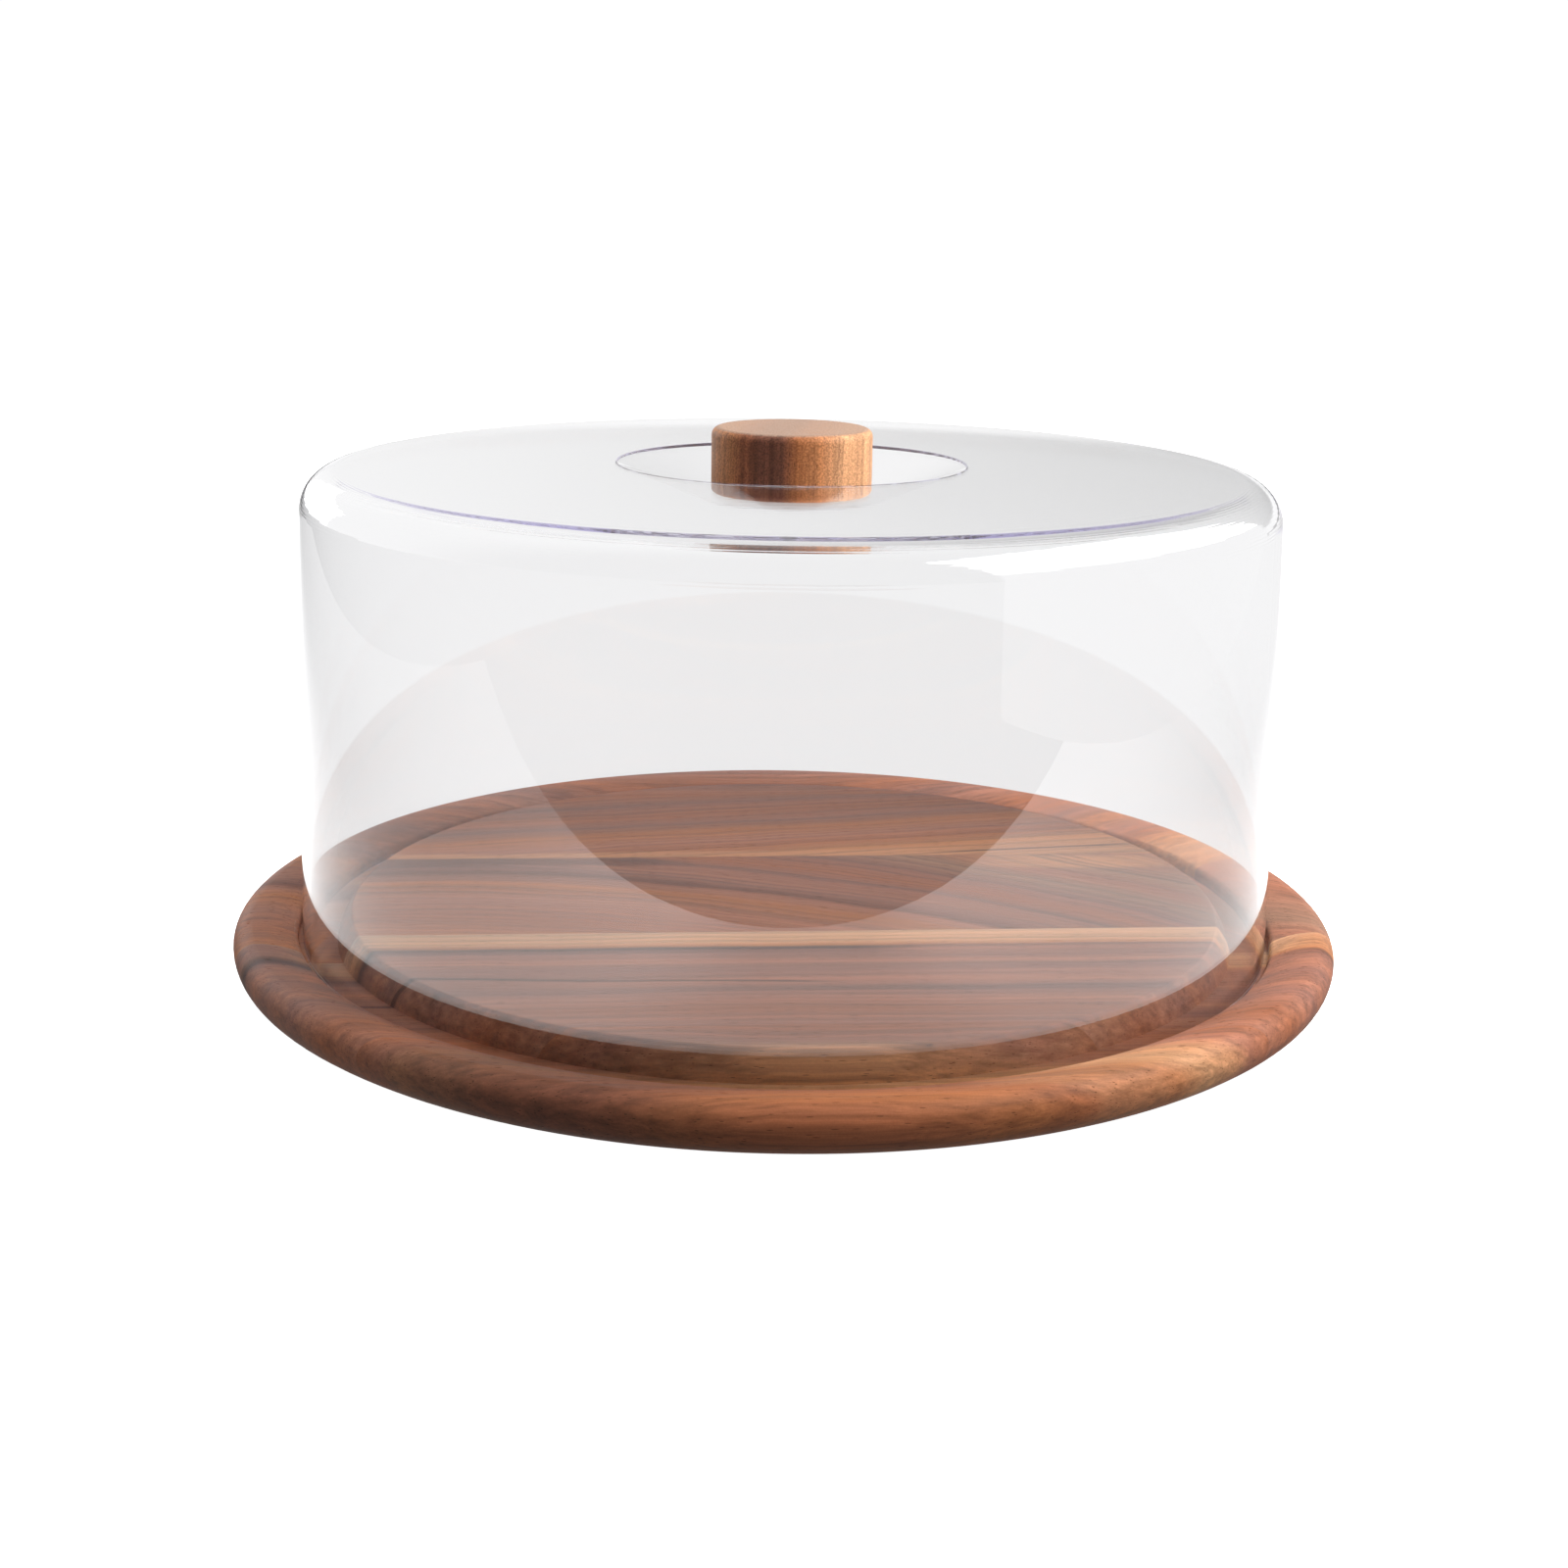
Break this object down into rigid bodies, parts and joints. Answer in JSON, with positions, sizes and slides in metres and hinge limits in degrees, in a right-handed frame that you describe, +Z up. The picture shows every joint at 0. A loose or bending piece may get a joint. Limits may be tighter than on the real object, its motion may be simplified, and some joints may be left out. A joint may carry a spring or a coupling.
{
  "type": "cake stand with dome",
  "caption": "Round wooden cake board with a grooved rim and a clear lift-off dome that has a sunken well and a wooden knob.",
  "frame": {"origin": "centre of the board's flat underside, on the surface it stands on", "axes": "+Z up along the axis of the board, dome and knob; +X along the staves; -Y towards the viewer"},
  "size_m": [0.3, 0.3, 0.1468],
  "materials": {
    "front_edge_wood": "oiled",
    "front_wood": "oiled",
    "centre_wood": "oiled",
    "rear_wood": "oiled",
    "rear_edge_wood": "oiled",
    "clear_acrylic": "polished",
    "knob_wood": "oiled",
    "screw_steel": "zinc plated"
  },
  "bodies": {
    "board": {"front_edge_stave": "front_edge_wood", "front_stave": "front_wood", "centre_stave": "centre_wood", "rear_stave": "rear_wood", "rear_edge_stave": "rear_edge_wood"},
    "dome": {"dome_shell": "clear_acrylic", "knob": "knob_wood", "knob_screw": "screw_steel"}
  },
  "joints": [
    {"name": "dome_lift", "type": "slide", "parent": "board", "child": "dome", "axis": [0, 0, 1], "range_m": [0, 0.15]}
  ]
}
